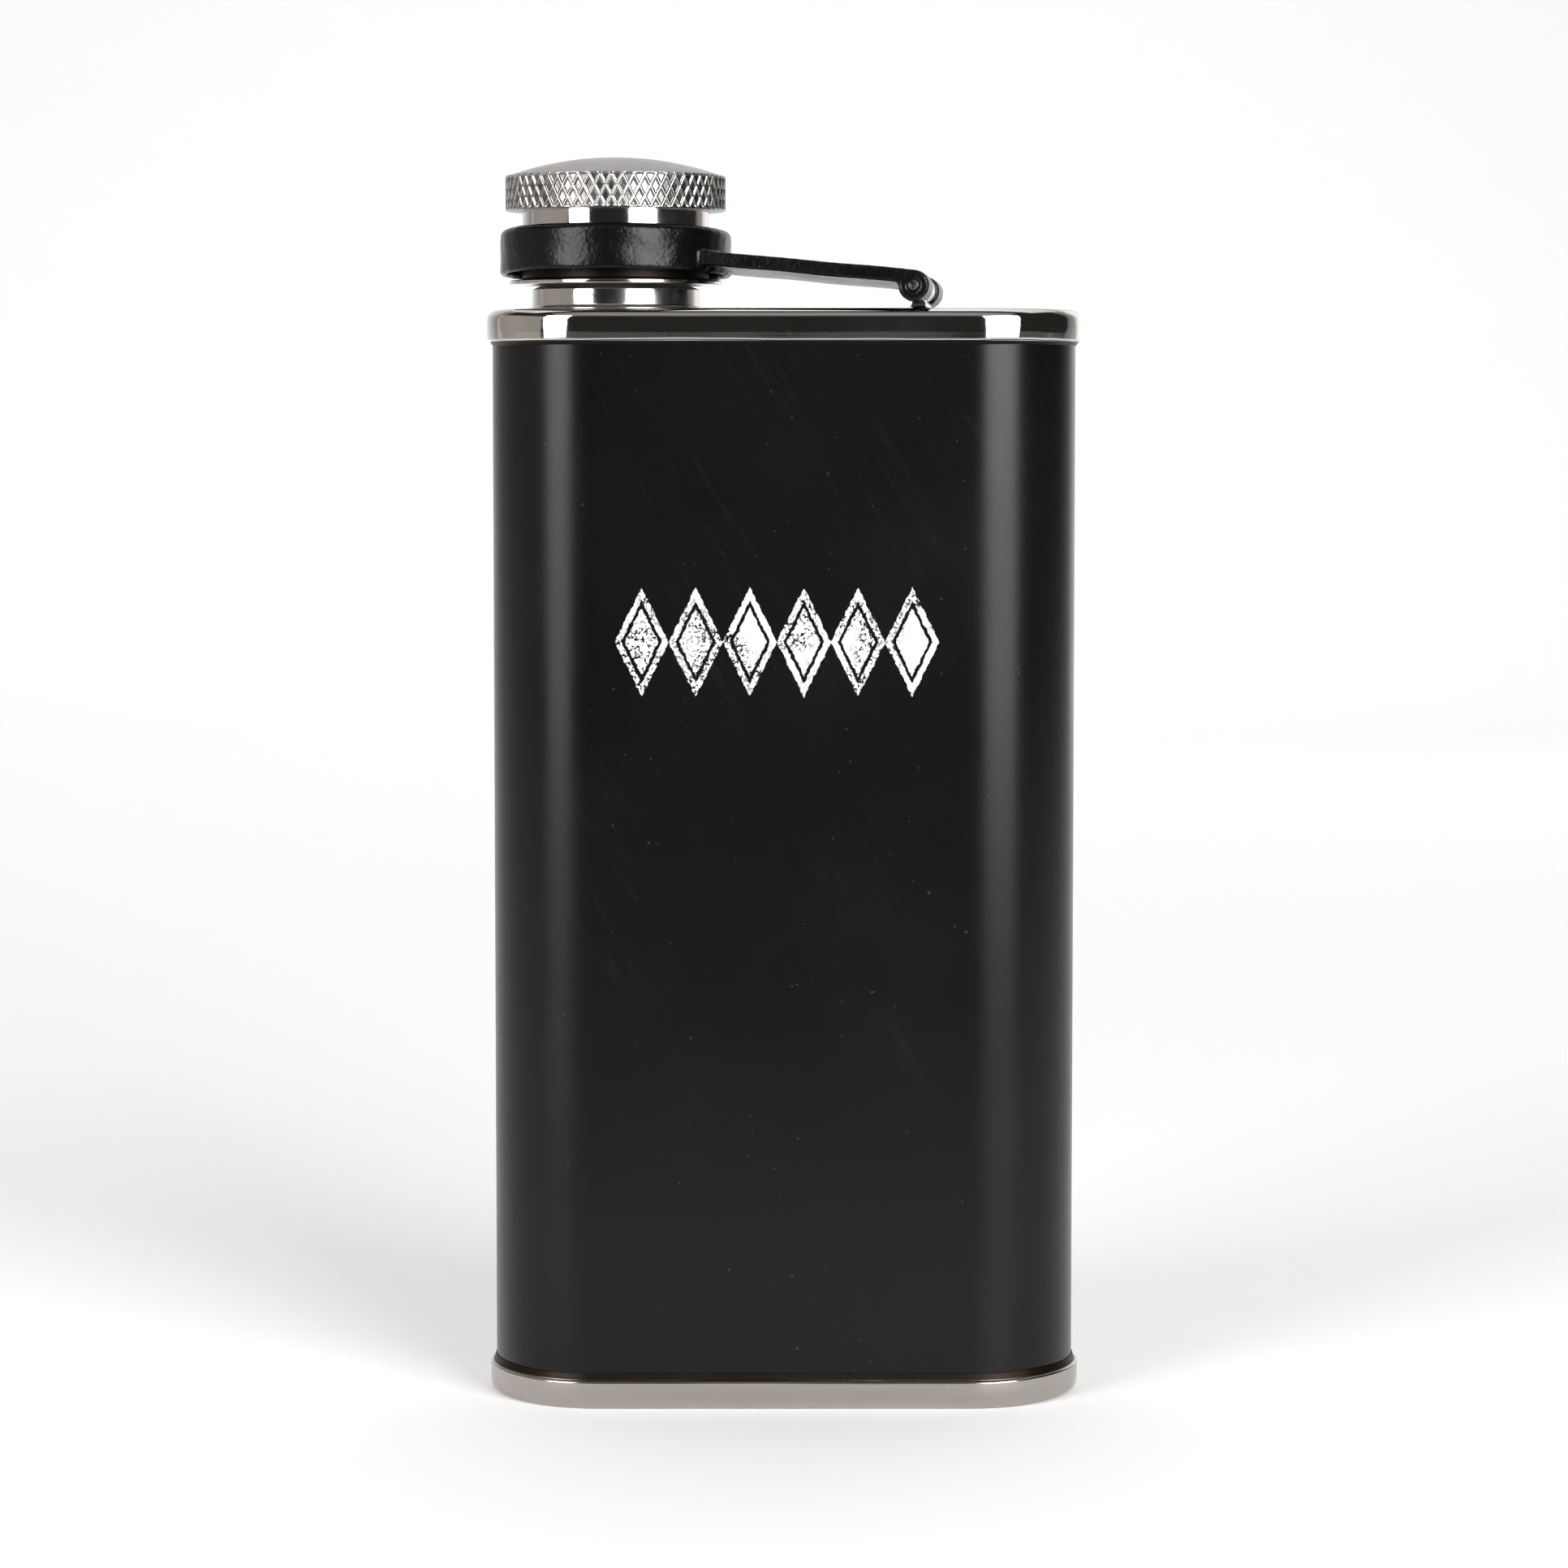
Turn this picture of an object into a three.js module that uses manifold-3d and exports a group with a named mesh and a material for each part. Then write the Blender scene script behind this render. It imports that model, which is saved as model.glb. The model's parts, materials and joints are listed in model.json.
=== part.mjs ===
// Hip flask with a captive screw cap on a hinged collar arm.
// Millimetres, +Z up, front facing -Y. The origin is the centre of the underside.
//
// The flask is a painted tube closed by two drawn end caps. A threaded neck stands off centre on
// the top cap. The screw cap turns inside a collar ring, and the ring's arm swings on a pin in a
// knuckle, so the cap stays with the flask when it is open.

import * as THREE from 'three';
import { mergeVertices } from 'three/addons/utils/BufferGeometryUtils.js';
import Module from 'manifold-3d';

const wasm = await Module();
wasm.setup();

// ---- Driving dimensions ----

// Tube and end caps. Every section is a stadium: two flats joined by half circles.
const HALF_FLAT = 21;
const TUBE_RADIUS = 12.3;
const TUBE_WALL = 0.6;
const BAND_RADIUS = 13;
const BAND_SHEET = 0.55;
const BAND_HEIGHT = 3.4;
const LIP_HEIGHT = 0.85;
const LIP_DRAW = 0.4;
const BASE_FILLET = 1.6;
const TOP_FILLET = 0.9;
const TOP_PLANE = 124.3;
const SEAM = 0.2;

// Neck.
const NECK_X = -19.2;
const NECK_RADIUS = 9.55;
const NECK_BORE = 7.6;
const NECK_TOP = 133.6;
const NECK_SHOULDER = 126.6;
const THREAD_ROOT = 8.35;
const THREAD_CREST = 8.65;
const THREAD_LEAD = 1.2;
const THREAD_TURNS = 3;
const THREAD_BOTTOM = 128.7;

// Screw cap.
const SKIRT_RADIUS = 10.65;
const SKIRT_BORE = 10.2;
const FLARE_RADIUS = 12.15;
const FLARE_BOTTOM = 127.1;
const FLARE_THICKNESS = 0.6;
const RIM_RADIUS = 12.55;
const RIM_BOTTOM = 135.5;
const RIM_TOP = 139.5;
const DOME_RADIUS = 12.1;
const DOME_TOP = 141.6;
const CROWN_SHEET = 0.6;

// Threaded insert and seal inside the cap.
const INSERT_RADIUS = 10.05;
const INSERT_BORE = 9.62;
const INSERT_CREST = 9.48;
const INSERT_BOTTOM = 127.5;
const INSERT_TOP = 139.2;
const SEAL_THICKNESS = 1.2;

// Collar ring and its arm, in a frame centred on the ring with the arm along local +X.
const COLLAR_MIDDLE = 130.7;
const COLLAR_TURN = THREE.MathUtils.degToRad(8.3);
const COLLAR_TILT = THREE.MathUtils.degToRad(2.5);
const COLLAR_RADIUS = 13.15;
const COLLAR_BORE = 11;
const COLLAR_HEIGHT = 5.2;
const COLLAR_ROUND = 0.85;
const RECESS_RADIUS = 12.45;
const RECESS_DEPTH = 1.7;
const ARM_WIDTH = 15.2;
const ARM_THICKNESS = 1.6;
const ARM_SLOPE = THREE.MathUtils.degToRad(5.3);

// Hinge: its axis is along local Y of the collar's frame.
const HINGE_X = 35.06;
const HINGE_Z = -4.2;
const EAR_RADIUS = 1.68;
const KNUCKLE_RADIUS = 1.6;
const KNUCKLE_LENGTH = 5;
const KNUCKLE_GAP = 0.3;
const PIN_RADIUS = 0.6;
const PIN_LENGTH = 14.4;
const PIN_PLAY = 0.07;
const FOOT_WIDTH = 3.2;
const FOOT_HEIGHT = 0.5;
const FOOT_STEM = 2;

// Facets round a full circle.
const SIDES = 48;
const SMALL_SIDES = 24;

// ---- Geometry helpers ----

function solidOf(geometry) {
  const bare = geometry.clone();
  bare.deleteAttribute('normal');
  bare.deleteAttribute('uv');
  const merged = mergeVertices(bare, 1e-4);
  const vertProperties = new Float32Array(merged.attributes.position.array);
  const triVerts = new Uint32Array(merged.index.array);
  return new wasm.Manifold(new wasm.Mesh({ numProp: 3, vertProperties, triVerts }));
}

function geometryOf(solid) {
  const cut = solid.getMesh();
  const geometry = new THREE.BufferGeometry();
  geometry.setAttribute('position', new THREE.BufferAttribute(cut.vertProperties, 3));
  geometry.setIndex(new THREE.BufferAttribute(cut.triVerts, 1));
  geometry.computeVertexNormals();
  return geometry;
}

function points(pairs) {
  return pairs.map(([radius, height]) => new THREE.Vector2(radius, height));
}

// Points on an arc of a profile, from one angle to another in degrees.
function arc(centreRadius, centreHeight, radius, from, to, steps) {
  return Array.from({ length: steps + 1 }, (_, step) => {
    const angle = THREE.MathUtils.degToRad(from + ((to - from) * step) / steps);
    return [centreRadius + radius * Math.cos(angle), centreHeight + radius * Math.sin(angle)];
  });
}

// A profile of [radius, height] pairs turned round the Z axis.
function turned(profile, sides = SIDES) {
  const geometry = new THREE.LatheGeometry(points(profile), sides);
  geometry.rotateX(Math.PI / 2);
  return geometry;
}

// The same, then pulled apart along X by the flats, which makes every round section a stadium.
function turnedStadium(profile) {
  const start = Math.PI / SIDES;
  const geometry = new THREE.LatheGeometry(points(profile), SIDES, start, 2 * Math.PI);
  const position = geometry.attributes.position;
  for (let index = 0; index < position.count; index += 1) {
    const column = Math.floor(index / profile.length);
    const side = Math.sign(Math.sin(start + (column * 2 * Math.PI) / SIDES));
    position.setX(index, position.getX(index) + side * HALF_FLAT);
  }
  geometry.rotateX(Math.PI / 2);
  return geometry;
}

function closed(profile) {
  return [...profile, profile[0]];
}

function upright(radius, bottom, top, sides = SIDES) {
  const geometry = new THREE.CylinderGeometry(radius, radius, top - bottom, sides);
  geometry.rotateX(Math.PI / 2);
  geometry.translate(0, 0, (bottom + top) / 2);
  return geometry;
}

// A bar along Y, centred on the hinge axis of the collar's frame.
function hingeBar(radius, length) {
  const geometry = new THREE.CylinderGeometry(radius, radius, length, SMALL_SIDES);
  geometry.translate(HINGE_X, 0, HINGE_Z);
  return geometry;
}

class Helix extends THREE.Curve {
  constructor(radius, bottom) {
    super();
    this.radius = radius;
    this.bottom = bottom;
  }

  getPoint(share, target = new THREE.Vector3()) {
    const angle = share * THREAD_TURNS * 2 * Math.PI;
    const height = this.bottom + share * THREAD_TURNS * THREAD_LEAD;
    return target.set(this.radius * Math.cos(angle), this.radius * Math.sin(angle), height);
  }
}

// A right-hand thread ridge of round section.
function threadRidge(middleRadius, ridgeRadius, bottom) {
  const section = new THREE.Shape();
  section.absarc(0, 0, ridgeRadius, 0, 2 * Math.PI);
  return new THREE.ExtrudeGeometry(section, {
    steps: THREAD_TURNS * 20,
    curveSegments: 3,
    bevelEnabled: false,
    extrudePath: new Helix(middleRadius, bottom),
  });
}

function named(name, geometry, color, roughness, metalness) {
  const material = new THREE.MeshStandardMaterial({ color, roughness, metalness });
  const mesh = new THREE.Mesh(geometry, material);
  mesh.name = name;
  return mesh;
}

// ---- Flask ----

const bandBore = BAND_RADIUS - BAND_SHEET;
const lipRadius = BAND_RADIUS - LIP_DRAW;

function bodyTube() {
  const bottom = BASE_FILLET;
  const top = TOP_PLANE - TOP_FILLET - SEAM;
  const bore = TUBE_RADIUS - TUBE_WALL;
  const profile = [[bore, bottom], [TUBE_RADIUS, bottom], [TUBE_RADIUS, top], [bore, top]];
  return named('body_tube', turnedStadium(closed(profile)), 0x15151a, 0.55, 0.2);
}

function bottomCap() {
  const middle = BAND_RADIUS - BASE_FILLET;
  const rim = BAND_HEIGHT + LIP_HEIGHT;
  const profile = [
    [0, 0],
    ...arc(middle, BASE_FILLET, BASE_FILLET, -90, 0, 4),
    [BAND_RADIUS, BAND_HEIGHT],
    [lipRadius, rim],
    [bandBore, rim],
    ...arc(middle, BASE_FILLET, BASE_FILLET - BAND_SHEET, 0, -90, 3),
    [0, BAND_SHEET],
  ];
  return named('bottom_cap', turnedStadium(profile), 0xc9c6c1, 0.18, 1);
}

function topCap() {
  const middle = BAND_RADIUS - TOP_FILLET;
  const corner = TOP_PLANE - TOP_FILLET;
  const rim = TOP_PLANE - BAND_HEIGHT - LIP_HEIGHT;
  const profile = [
    [0, TOP_PLANE - BAND_SHEET],
    ...arc(middle, corner, TOP_FILLET - BAND_SHEET, 90, 0, 2),
    [bandBore, rim],
    [lipRadius, rim],
    [BAND_RADIUS, rim + LIP_HEIGHT],
    ...arc(middle, corner, TOP_FILLET, 0, 90, 3),
    [0, TOP_PLANE],
  ];
  const neckHole = upright(NECK_RADIUS + SEAM, TOP_PLANE - 2, TOP_PLANE + 2);
  neckHole.translate(NECK_X, 0, 0);
  const pan = solidOf(turnedStadium(profile)).subtract(solidOf(neckHole));
  return named('top_cap', geometryOf(pan), 0xc9c6c1, 0.16, 1);
}

// The neck is held by a flange under the top cap's sheet, and is sealed there with solder.
function neck() {
  const flangeTop = TOP_PLANE - BAND_SHEET - SEAM;
  const flangeBottom = flangeTop - 0.5;
  const chamfer = 0.3;
  const profile = [
    [NECK_BORE, flangeBottom],
    [NECK_RADIUS + 1.2, flangeBottom],
    [NECK_RADIUS + 1.2, flangeTop],
    [NECK_RADIUS, flangeTop],
    [NECK_RADIUS, NECK_SHOULDER],
    [THREAD_ROOT, NECK_SHOULDER + 0.5],
    [THREAD_ROOT, NECK_TOP - chamfer],
    [THREAD_ROOT - chamfer, NECK_TOP],
    [NECK_BORE, NECK_TOP],
  ];
  const ridge = 0.45;
  const tube = solidOf(turned(closed(profile)));
  const thread = solidOf(threadRidge(THREAD_CREST - ridge, ridge, THREAD_BOTTOM));
  const mesh = named('neck', geometryOf(tube.add(thread)), 0xb9b7b3, 0.32, 1);
  mesh.position.x = NECK_X;
  return mesh;
}

// ---- Screw cap ----

const domeDrop = DOME_TOP - RIM_TOP;
const domeCurve = (DOME_RADIUS ** 2 + domeDrop ** 2) / (2 * domeDrop);

// Height of the dome's outer face at a radius.
function domeHeight(radius) {
  return DOME_TOP - domeCurve + Math.sqrt(domeCurve ** 2 - radius ** 2);
}

function domeProfile(radii, offset) {
  return radii.map((radius) => [radius, domeHeight(radius) - offset]);
}

function capShell() {
  const flareTop = FLARE_BOTTOM + FLARE_THICKNESS;
  const edge = 0.25;
  const profile = [
    ...domeProfile([0, 5, SKIRT_BORE], CROWN_SHEET),
    [SKIRT_BORE, FLARE_BOTTOM],
    [FLARE_RADIUS, FLARE_BOTTOM],
    [FLARE_RADIUS, flareTop],
    [SKIRT_RADIUS, flareTop],
    [SKIRT_RADIUS, RIM_BOTTOM],
    [RIM_RADIUS - edge, RIM_BOTTOM],
    [RIM_RADIUS, RIM_BOTTOM + edge],
    [RIM_RADIUS, RIM_TOP - edge],
    ...domeProfile([DOME_RADIUS, 9, 6, 3, 0], 0),
  ];
  const mesh = named('cap_shell', turned(profile), 0xc4c2be, 0.25, 1);
  mesh.position.x = NECK_X;
  return mesh;
}

const sealBottom = NECK_TOP + SEAM;
const sealTop = sealBottom + SEAL_THICKNESS;

function capInsert() {
  const ceiling = sealTop + SEAM;
  const web = 1.8;
  const coreRadius = 8.6;
  const profile = [
    [0, ceiling],
    [INSERT_BORE, ceiling],
    [INSERT_BORE, INSERT_BOTTOM],
    [INSERT_RADIUS, INSERT_BOTTOM],
    [INSERT_RADIUS, INSERT_TOP],
    [coreRadius, INSERT_TOP],
    [coreRadius, ceiling + web],
    [0, ceiling + web],
  ];
  const ridge = 0.25;
  const cup = solidOf(turned(profile));
  const thread = solidOf(threadRidge(INSERT_CREST + ridge, ridge, INSERT_BOTTOM + 0.7));
  const mesh = named('cap_insert', geometryOf(cup.add(thread)), 0xe6e4dc, 0.5, 0);
  mesh.position.x = NECK_X;
  return mesh;
}

function capSeal() {
  const outer = INSERT_CREST - SEAM;
  const inner = 6.4;
  const profile = [[inner, sealBottom], [outer, sealBottom], [outer, sealTop], [inner, sealTop]];
  const mesh = named('cap_seal', turned(closed(profile)), 0xd8d6d0, 0.7, 0);
  mesh.position.x = NECK_X;
  return mesh;
}

// ---- Collar arm and hinge ----

function collarRing() {
  const low = -COLLAR_HEIGHT / 2;
  const high = COLLAR_HEIGHT / 2;
  const edge = 0.3;
  const profile = [
    [RECESS_RADIUS, low],
    [COLLAR_RADIUS - edge, low],
    [COLLAR_RADIUS, low + edge],
    ...arc(COLLAR_RADIUS - COLLAR_ROUND, high - COLLAR_ROUND, COLLAR_ROUND, 0, 90, 4),
    [COLLAR_BORE + edge, high],
    [COLLAR_BORE, high - edge],
    [COLLAR_BORE, low + RECESS_DEPTH],
    [RECESS_RADIUS, low + RECESS_DEPTH],
  ];
  return solidOf(turned(closed(profile)));
}

// A flat strap whose upper face is tangent to the ears' barrel.
function armStrap() {
  const length = HINGE_X - COLLAR_BORE + 2;
  const strap = new THREE.BoxGeometry(length, ARM_WIDTH, ARM_THICKNESS);
  strap.translate(-length / 2, 0, EAR_RADIUS - ARM_THICKNESS / 2);
  strap.rotateY(ARM_SLOPE);
  strap.translate(HINGE_X, 0, HINGE_Z);
  const insideRing = (RECESS_RADIUS + COLLAR_RADIUS) / 2;
  return solidOf(strap).subtract(solidOf(upright(insideRing, -10, 10)));
}

function collarArm() {
  const ears = solidOf(hingeBar(EAR_RADIUS, ARM_WIDTH));
  const slot = solidOf(hingeBar(EAR_RADIUS + 0.4, KNUCKLE_LENGTH + 2 * KNUCKLE_GAP));
  const pinHole = solidOf(hingeBar(PIN_RADIUS + PIN_PLAY, ARM_WIDTH + 2));
  const arm = collarRing().add(armStrap()).add(ears).subtract(slot).subtract(pinHole);
  return named('collar_arm', geometryOf(arm), 0x0b0b0c, 0.12, 0.1);
}

function hingePin() {
  return named('hinge_pin', hingeBar(PIN_RADIUS, PIN_LENGTH), 0x8d8c8a, 0.35, 1);
}

// The frame that holds the collar, its arm and the hinge axis.
function collarFrame() {
  const group = new THREE.Group();
  group.position.set(NECK_X, 0, COLLAR_MIDDLE);
  group.rotation.set(-COLLAR_TILT, 0, -COLLAR_TURN, 'ZYX');
  group.updateMatrix();
  return group;
}

// The knuckle stands on a flat foot on the top cap. It is shaped in the collar's frame, then
// trimmed flat just above the top cap.
function hingeBracket() {
  const frame = collarFrame().matrix;
  const stem = new THREE.BoxGeometry(FOOT_STEM, KNUCKLE_LENGTH, KNUCKLE_RADIUS + 2);
  stem.translate(HINGE_X, 0, HINGE_Z - (KNUCKLE_RADIUS + 2) / 2);
  const footBottom = TOP_PLANE + SEAM;
  const foot = new THREE.BoxGeometry(FOOT_WIDTH, KNUCKLE_LENGTH, FOOT_HEIGHT);
  foot.rotateZ(-COLLAR_TURN);
  const hinge = new THREE.Vector3(HINGE_X, 0, HINGE_Z).applyMatrix4(frame);
  foot.translate(hinge.x, hinge.y, footBottom + FOOT_HEIGHT / 2);
  const below = new THREE.BoxGeometry(20, 20, 10);
  below.translate(hinge.x, hinge.y, footBottom - 5);
  const knuckle = hingeBar(KNUCKLE_RADIUS, KNUCKLE_LENGTH);
  const pinHole = hingeBar(PIN_RADIUS + PIN_PLAY, KNUCKLE_LENGTH + 2);
  for (const geometry of [stem, knuckle, pinHole]) {
    geometry.applyMatrix4(frame);
  }
  const post = solidOf(knuckle).add(solidOf(stem)).subtract(solidOf(below)).add(solidOf(foot));
  const bracket = post.subtract(solidOf(pinHole));
  return named('hinge_bracket', geometryOf(bracket), 0xcfcdc9, 0.15, 1);
}

// ---- Assembly ----

const collar = collarFrame();
collar.add(collarArm(), hingePin());

const group = new THREE.Group();
group.add(bodyTube(), bottomCap(), topCap(), neck(), hingeBracket());
group.add(capShell(), capInsert(), capSeal(), collar);

export default group;
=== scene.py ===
"""Hip flask: the finished pieces, their finishes and a plain studio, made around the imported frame.

Lengths are in metres. The frame's neck, hinge and boxes give every place, and the property groups
hold the sizes and colours that a user would change.
"""

import json
import math

import bmesh
import bpy
import numpy as np
from bpy.props import FloatProperty, FloatVectorProperty, IntProperty, PointerProperty
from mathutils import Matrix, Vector


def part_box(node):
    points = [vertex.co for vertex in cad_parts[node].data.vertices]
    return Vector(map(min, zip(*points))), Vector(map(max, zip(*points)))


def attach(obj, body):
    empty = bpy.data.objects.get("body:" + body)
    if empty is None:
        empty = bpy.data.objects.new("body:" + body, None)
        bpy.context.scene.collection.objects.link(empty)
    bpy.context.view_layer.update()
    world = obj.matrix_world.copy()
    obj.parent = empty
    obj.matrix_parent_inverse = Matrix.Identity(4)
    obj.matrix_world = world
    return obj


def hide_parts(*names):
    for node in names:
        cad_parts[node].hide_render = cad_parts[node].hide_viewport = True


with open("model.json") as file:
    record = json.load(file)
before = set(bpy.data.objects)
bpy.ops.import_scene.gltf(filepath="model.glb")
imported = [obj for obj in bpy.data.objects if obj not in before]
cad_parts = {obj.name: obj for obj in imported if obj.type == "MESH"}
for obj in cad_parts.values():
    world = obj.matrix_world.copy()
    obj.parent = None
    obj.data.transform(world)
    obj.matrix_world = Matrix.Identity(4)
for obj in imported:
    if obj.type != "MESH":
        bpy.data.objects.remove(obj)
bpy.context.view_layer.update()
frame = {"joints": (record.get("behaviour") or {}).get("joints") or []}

bl_info = {
    "name": "Hip flask",
    "version": (1, 0, 0),
    "blender": (4, 5, 0),
    "location": "3D View > Sidebar > Flask",
    "description": "Builds a hip flask with a captive screw cap around its packed frame",
    "category": "Add Mesh",
}

MM = 0.001
TURN = 2 * math.pi
LIP_BEND = 0.22 * MM  # height of the bend between an end cap's bright face and its dark lip

# ---- Places that come from the frame ----

JOINTS = {joint["name"]: joint for joint in frame["joints"]}
HINGE = np.array(JOINTS["arm_swing"]["pos_m"])
HINGE_AXIS = np.array(JOINTS["arm_swing"]["axis"])
NECK_AXIS = np.array(JOINTS["cap_turn"]["pos_m"]) * (1, 1, 0)
TUBE_LOW, TUBE_HIGH = (corner.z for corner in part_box("body_tube"))
BASE_LOW, BASE_HIGH = (corner.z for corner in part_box("bottom_cap"))
CROWN_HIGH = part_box("top_cap")[1].z
NECK_LOW, NECK_HIGH = (corner.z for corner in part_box("neck"))
CAP_LOW, CAP_HIGH = (corner.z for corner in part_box("cap_shell"))
LINING_LOW, LINING_HIGH = (corner.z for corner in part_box("cap_insert"))
SEAL_LOW, SEAL_HIGH = (corner.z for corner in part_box("cap_seal"))


# ---- Sizes and colours that a user would change ----


def length(name, description, millimetres):
    return FloatProperty(name=name, description=description, default=millimetres * MM, unit="LENGTH")


def colour(name, description, value):
    return FloatVectorProperty(
        name=name, description=description, default=value, subtype="COLOR", size=3, min=0, max=1
    )


def share(name, description, value):
    return FloatProperty(
        name=name, description=description, default=value, min=0, max=1, subtype="FACTOR"
    )


class FlaskBodySizes(bpy.types.PropertyGroup):
    """Tube, end caps and neck."""

    half_flat: length("Half flat", "Half the straight stretch of the section", 21)
    tube_radius: length("Tube radius", "Half the thickness of the painted tube", 12.3)
    tube_wall: length("Tube wall", "Sheet of the tube", 0.6)
    band_radius: length("Band radius", "Half the thickness of the end caps", 13)
    band_sheet: length("Band sheet", "Sheet of the end caps", 0.55)
    band_height: length("Band height", "Height of the upper end cap's bright face", 3.4)
    base_lip: length("Base lip", "Height of the lower end cap's bright face", 3.05)
    base_fillet: length("Base fillet", "Bend round the underside", 1.0)
    crown_fillet: length("Crown fillet", "Bend round the top", 1.25)
    waver: length("Waver", "Unevenness left in the pressed sheet", 0.035)
    neck_radius: length("Neck radius", "Outside of the neck's base", 9.55)
    neck_bore: length("Neck bore", "Radius of the way through the neck", 7.6)
    thread_root: length("Thread root", "Radius between the neck's thread ridges", 8.35)
    thread_rise: length("Thread rise", "Height of a thread ridge", 0.3)
    thread_lead: length("Thread lead", "Rise of the thread in one turn", 1.2)


class FlaskCapSizes(bpy.types.PropertyGroup):
    """Screw cap, its lining and its seal."""

    rim_radius: length("Rim radius", "Outside of the knurled rim", 12.55)
    rim_low: length("Rim height from the flare", "From the cap's lower edge to the rim", 8.4)
    crown_edge: length("Crown edge", "Radius where the domed crown begins", 12.15)
    crown_rise: length("Crown rise", "Height of the dome above the rim", 2.1)
    skirt_radius: length("Skirt radius", "Outside of the smooth skirt", 10.65)
    skirt_bore: length("Skirt bore", "Inside of the skirt", 10.2)
    flare_radius: length("Flare radius", "Outside of the flared lower edge", 12.15)
    flare_sheet: length("Flare sheet", "Thickness of the flared edge", 0.5)
    knurl_depth: length("Knurl depth", "Depth of the diamonds", 0.17)
    knurl_height: length("Knurl height", "Height of one diamond", 2.4)
    knurls: IntProperty(name="Knurls", description="Diamonds round the rim", default=62, min=12)


class FlaskCollarSizes(bpy.types.PropertyGroup):
    """Collar ring, arm and hinge."""

    reach: length("Reach", "From the ring's centre to the hinge", 35.06)
    drop: length("Drop", "From the ring's middle plane down to the hinge", 4.2)
    ring_radius: length("Ring radius", "Outside of the ring", 13.15)
    ring_bore: length("Ring bore", "Inside of the ring", 11)
    ring_height: length("Ring height", "Height of the ring", 5.2)
    ring_round: length("Ring round", "Round of the ring's upper edge", 0.8)
    recess_radius: length("Recess radius", "Recess under the ring", 12.45)
    recess_depth: length("Recess depth", "Depth of the recess", 1.7)
    arm_width: length("Arm width", "Width of the arm and its ears", 15.2)
    arm_thickness: length("Arm thickness", "Thickness of the arm", 1.6)
    arm_slope: FloatProperty(
        name="Arm slope",
        description="Fall of the arm towards the hinge",
        default=math.radians(5.3),
        subtype="ANGLE",
    )
    ear_radius: length("Ear radius", "Radius of the ears", 1.76)
    knuckle_radius: length("Knuckle radius", "Radius of the knuckle", 1.55)
    knuckle_length: length("Knuckle length", "Length of the knuckle", 5)
    knuckle_gap: length("Knuckle gap", "Space between an ear and the knuckle", 0.3)
    pin_radius: length("Pin radius", "Radius of the hinge pin", 0.6)
    pin_length: length("Pin length", "Length of the hinge pin", 14.9)
    pin_play: length("Pin play", "Space round the pin", 0.07)
    grain: length("Grain", "Size of a face on the cast surface", 0.18)


class FlaskFinishes(bpy.types.PropertyGroup):
    """Colours and gloss."""

    paint: colour("Paint", "Matte black of the tube", (0.0019, 0.0017, 0.0018))
    paint_gloss: share("Paint roughness", "Roughness of the paint", 0.26)
    ink: colour("Ink", "Printed motif", (0.86, 0.87, 0.88))
    steel: colour("Steel", "Polished stainless steel", (0.66, 0.64, 0.62))
    # The satin steel is a darker copy of the polished steel: painted shade that holds the cap's crown below
    # the softboxes' light.
    satin: colour("Satin steel", "Crown of the cap", (0.4, 0.39, 0.38))
    enamel: colour("Enamel", "Gloss black of the collar", (0.002, 0.002, 0.0023))
    lining: colour("Lining", "Moulded lining of the cap", (0.78, 0.77, 0.71))
    rubber: colour("Seal", "Soft seal in the cap", (0.62, 0.61, 0.58))


GROUPS = {
    "flask_body": FlaskBodySizes,
    "flask_cap": FlaskCapSizes,
    "flask_collar": FlaskCollarSizes,
    "flask_finishes": FlaskFinishes,
}


# ---- Profiles, paths and meshes ----


def rounded_profile(corners, closed=False, longest=2 * MM):
    """A profile of straight stretches joined by arcs, as rows of (radius, height).

    corners holds (radius, height, fillet). At each corner the arc's centre lies on the bisector,
    fillet / sin(half the corner) away, and straight stretches get points near both their ends.
    longest is the most space between points, one value or one for the stretch after each corner.
    """
    spots = np.array(corners, float)[:, :2]
    longest = np.broadcast_to(longest, len(spots))
    fillet = np.array(corners, float)[:, 2]
    arcs = []
    for index, corner in enumerate(spots):
        inner = closed or 0 < index < len(spots) - 1
        if not inner or fillet[index] == 0:
            arcs.append(corner[None])
            continue
        back = spots[index - 1] - corner
        ahead = spots[(index + 1) % len(spots)] - corner
        back, ahead = back / np.linalg.norm(back), ahead / np.linalg.norm(ahead)
        half = math.acos(np.clip(back @ ahead, -1, 1)) / 2
        bisector = (back + ahead) / np.linalg.norm(back + ahead)
        centre = corner + bisector * fillet[index] / math.sin(half)
        start = corner + back * fillet[index] / math.tan(half) - centre
        sweep = math.pi - 2 * half
        turn = np.sign(back[1] * ahead[0] - back[0] * ahead[1])
        angle = turn * np.linspace(0, sweep, max(3, math.ceil(sweep / math.radians(11)) + 1))
        cos, sin = np.cos(angle), np.sin(angle)
        arcs.append(
            centre + np.stack([start[0] * cos - start[1] * sin, start[0] * sin + start[1] * cos], 1)
        )
    rows = []
    for index, arc in enumerate(arcs):
        rows.append(arc)
        if index == len(arcs) - 1 and not closed:
            break
        start, end = arc[-1], arcs[(index + 1) % len(arcs)][0]
        span = np.linalg.norm(end - start)
        if span > 0.3 * MM:
            near = 0.06 * MM / span
            steps = np.linspace(near, 1 - near, max(2, math.ceil(span / longest[index]) + 1))
            rows.append(start + (end - start) * steps[:, None])
    return np.concatenate(rows)


def circle_path(steps, centre=(0, 0)):
    """Core points and outward normals round a circle, anticlockwise from above."""
    angle = np.arange(steps) * TURN / steps
    normal = np.stack([np.cos(angle), np.sin(angle)], 1)
    return np.broadcast_to(np.array(centre, float), normal.shape), normal, angle


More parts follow.
